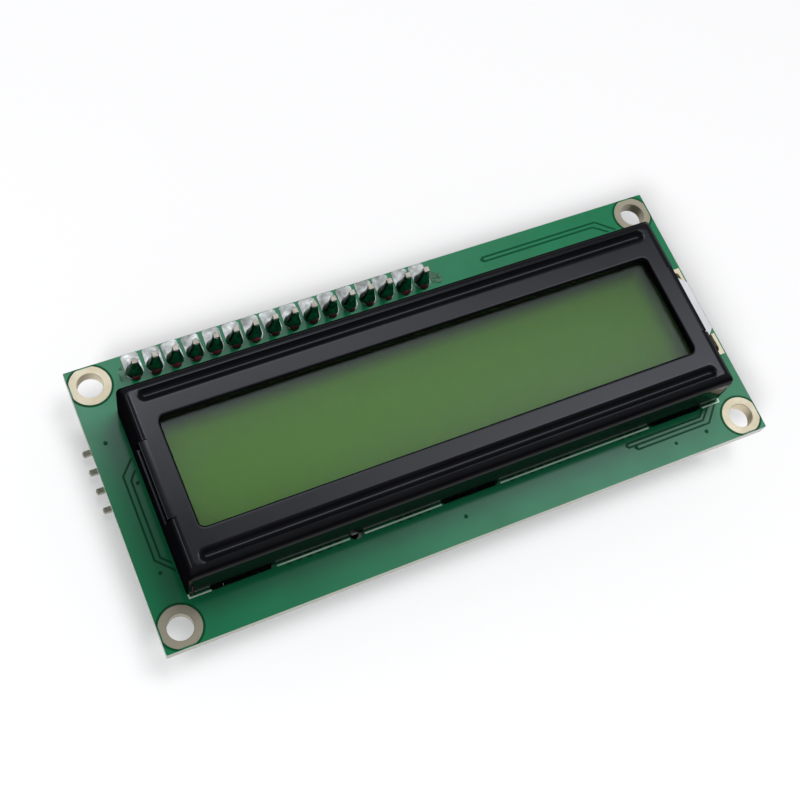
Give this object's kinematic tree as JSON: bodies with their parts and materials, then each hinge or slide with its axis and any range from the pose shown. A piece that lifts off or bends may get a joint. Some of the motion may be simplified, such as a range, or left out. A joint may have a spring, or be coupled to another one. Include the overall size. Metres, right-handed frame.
{
  "type": "character lcd module",
  "caption": "Character display module: green board, black pressed bezel round a yellow-green window, and a serial adapter board soldered behind it.",
  "frame": {"origin": "centre of the four mounting holes, on the front face of the main board", "axes": "+X along the long side with the sixteen-pin row towards -X, +Y towards the pin row, +Z out of the viewing window"},
  "size_m": [0.0806, 0.036, 0.0174],
  "materials": {
    "soldermask_board": "green solder mask over glass-fibre laminate",
    "adapter_laminate": "black solder mask over glass-fibre laminate",
    "plated_pads": "tin-plated copper, warm dull shine",
    "bezel_paint": "satin black paint on pressed steel",
    "white_film": "white film",
    "guide_acrylic": "clear acrylic",
    "rear_film": "yellow-green reflecting polarizer",
    "front_film": "clear polarizer with a soft shine",
    "display_glass": "soda-lime glass",
    "contact_rubber": "layered silicone rubber",
    "white_moulding": "white moulded plastic",
    "led_resin": "clear epoxy resin",
    "tinned_metal": "tinned metal",
    "solder": "bright solder",
    "pin_brass": "tin-plated brass",
    "cover_resin": "black epoxy resin",
    "resistor_glaze": "black glaze",
    "capacitor_ceramic": "fired ceramic",
    "black_moulding": "black moulded plastic",
    "chip_resin": "moulded epoxy resin",
    "trimmer_moulding": "blue moulded plastic",
    "rotor_moulding": "white moulded plastic",
    "cap_moulding": "black moulded plastic"
  },
  "bodies": {
    "module": {"main_board": "soldermask_board", "mounting_pads": "plated_pads", "header_pads": "plated_pads", "backlight_pads": "plated_pads", "metal_bezel": "bezel_paint", "reflector_sheet": "white_film", "light_guide": "guide_acrylic", "diffuser_sheet": "white_film", "rear_polarizer": "rear_film", "rear_glass": "display_glass", "front_glass": "display_glass", "front_polarizer": "front_film", "zebra_strip_front": "contact_rubber", "zebra_strip_rear": "contact_rubber", "backlight_block": "white_moulding", "backlight_leds": "led_resin", "backlight_leads": "tinned_metal", "backlight_solder": "solder", "driver_cover_left": "cover_resin", "driver_cover_right": "cover_resin", "board_resistors": "resistor_glaze", "board_resistor_ends": "tinned_metal", "board_capacitors": "capacitor_ceramic", "board_capacitor_ends": "tinned_metal", "header_pins": "pin_brass", "header_spacer": "black_moulding", "header_solder": "solder", "adapter_header_solder": "solder", "adapter_board": "adapter_laminate", "expander_chip": "chip_resin", "expander_leads": "tinned_metal", "trimmer_body": "trimmer_moulding", "trimmer_pins": "tinned_metal", "bus_header_housing": "black_moulding", "bus_pins": "pin_brass", "bus_pin_solder": "solder", "jumper_header_housing": "black_moulding", "jumper_pins": "pin_brass", "jumper_pin_solder": "solder", "jumper_cap": "cap_moulding", "jumper_clip": "tinned_metal", "power_led_base": "white_moulding", "power_led_lens": "led_resin", "adapter_resistors": "resistor_glaze", "adapter_resistor_ends": "tinned_metal", "adapter_capacitors": "capacitor_ceramic", "adapter_capacitor_ends": "tinned_metal", "transistor_body": "chip_resin", "transistor_leads": "tinned_metal", "address_pads": "plated_pads"},
    "contrast_rotor": {"trimmer_rotor": "rotor_moulding"}
  },
  "joints": [
    {"name": "contrast_adjust", "type": "hinge", "parent": "module", "child": "contrast_rotor", "pos_m": [-0.0012, 0.0066, -0.01069], "axis": [0, 0, -1], "range_deg": [-130, 130]}
  ]
}
